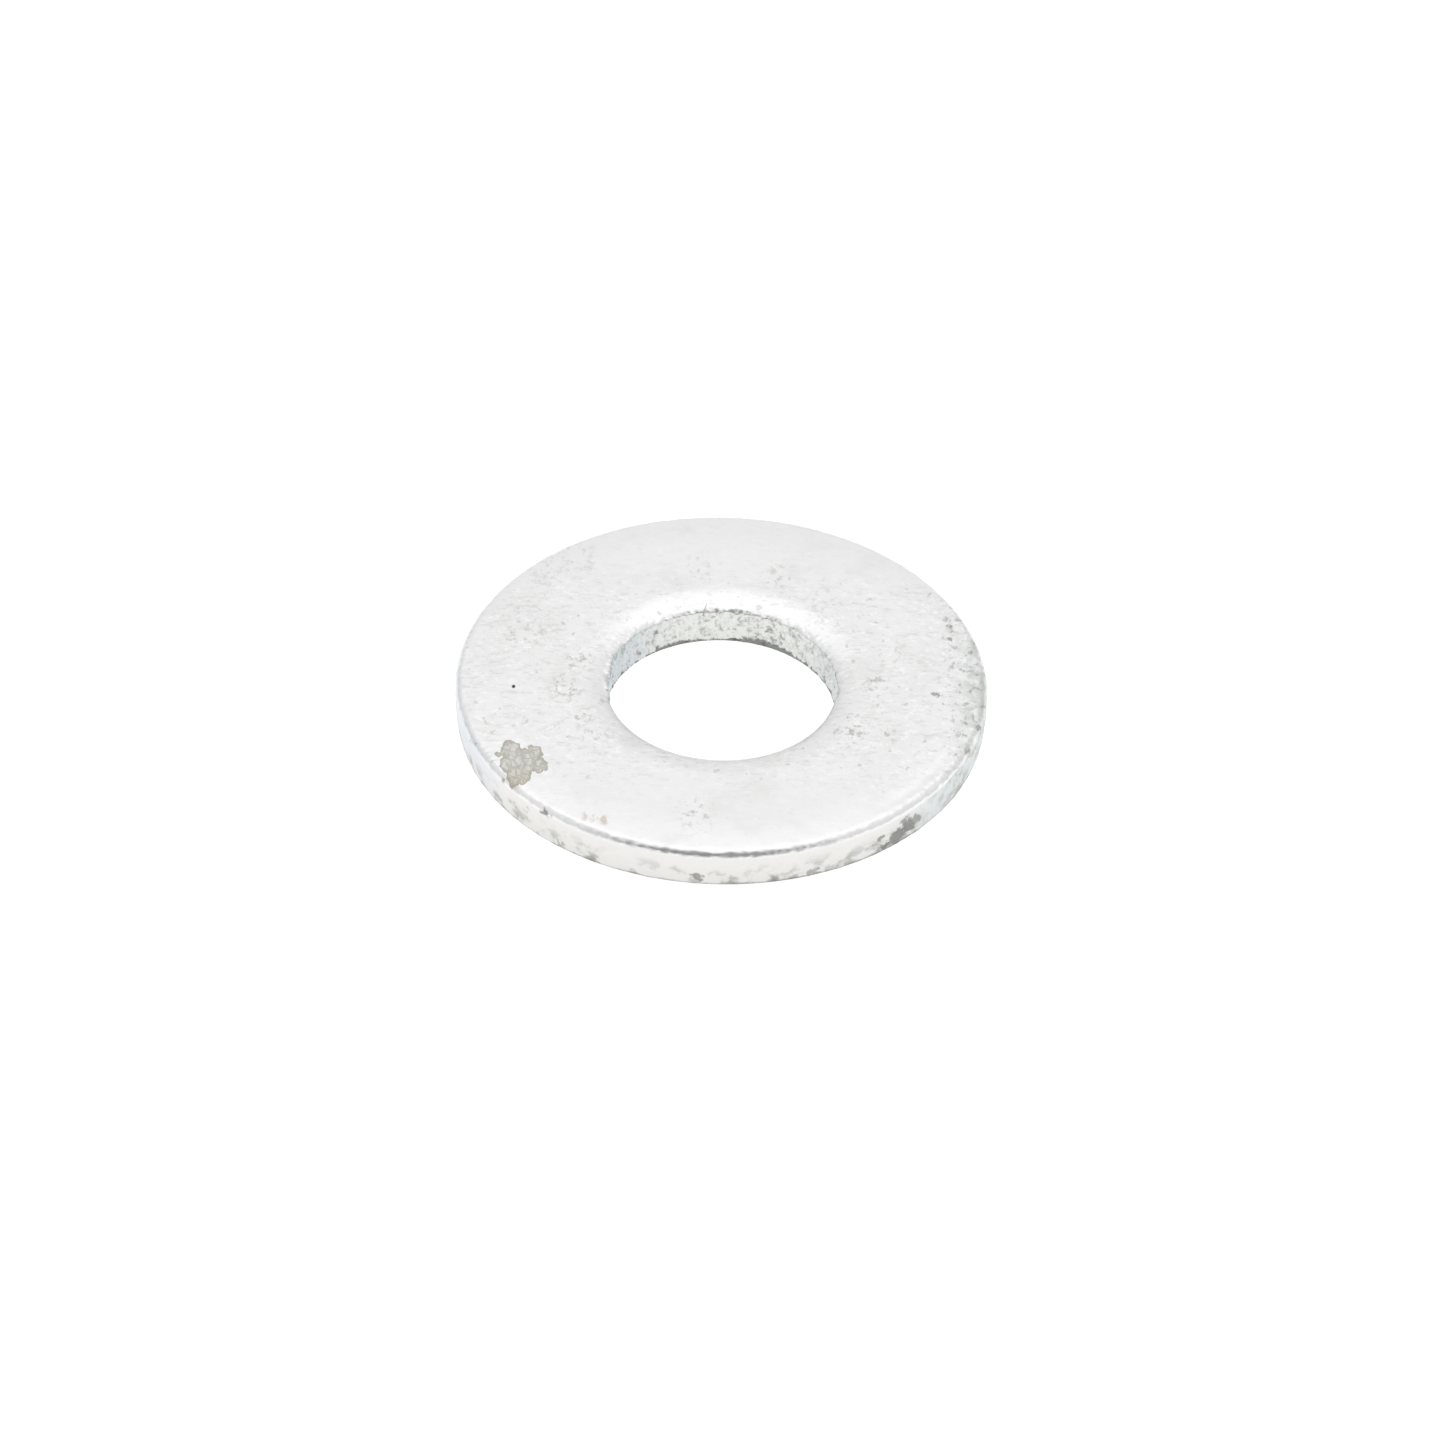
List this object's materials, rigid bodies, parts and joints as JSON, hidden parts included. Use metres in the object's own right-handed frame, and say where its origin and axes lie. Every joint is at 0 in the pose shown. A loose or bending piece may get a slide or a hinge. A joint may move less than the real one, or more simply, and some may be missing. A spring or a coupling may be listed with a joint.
{
  "type": "flat washer",
  "caption": "Round flat washer: a thin stamped steel ring with a central bore, its upper edges drawn over into soft rolls and its seat flat.",
  "frame": {"origin": "centre of the bore in the plane of the seat, the flat lower face", "axes": "+Z along the bore, from the seat up to the face with the rolled edges; X and Y lie in the seat, in any direction, as the washer is round"},
  "size_m": [0.0254, 0.0254, 0.0021],
  "materials": {
    "zinc_plated_steel": "satin"
  },
  "bodies": {
    "root": {"flat_washer": "zinc_plated_steel"}
  },
  "joints": []
}
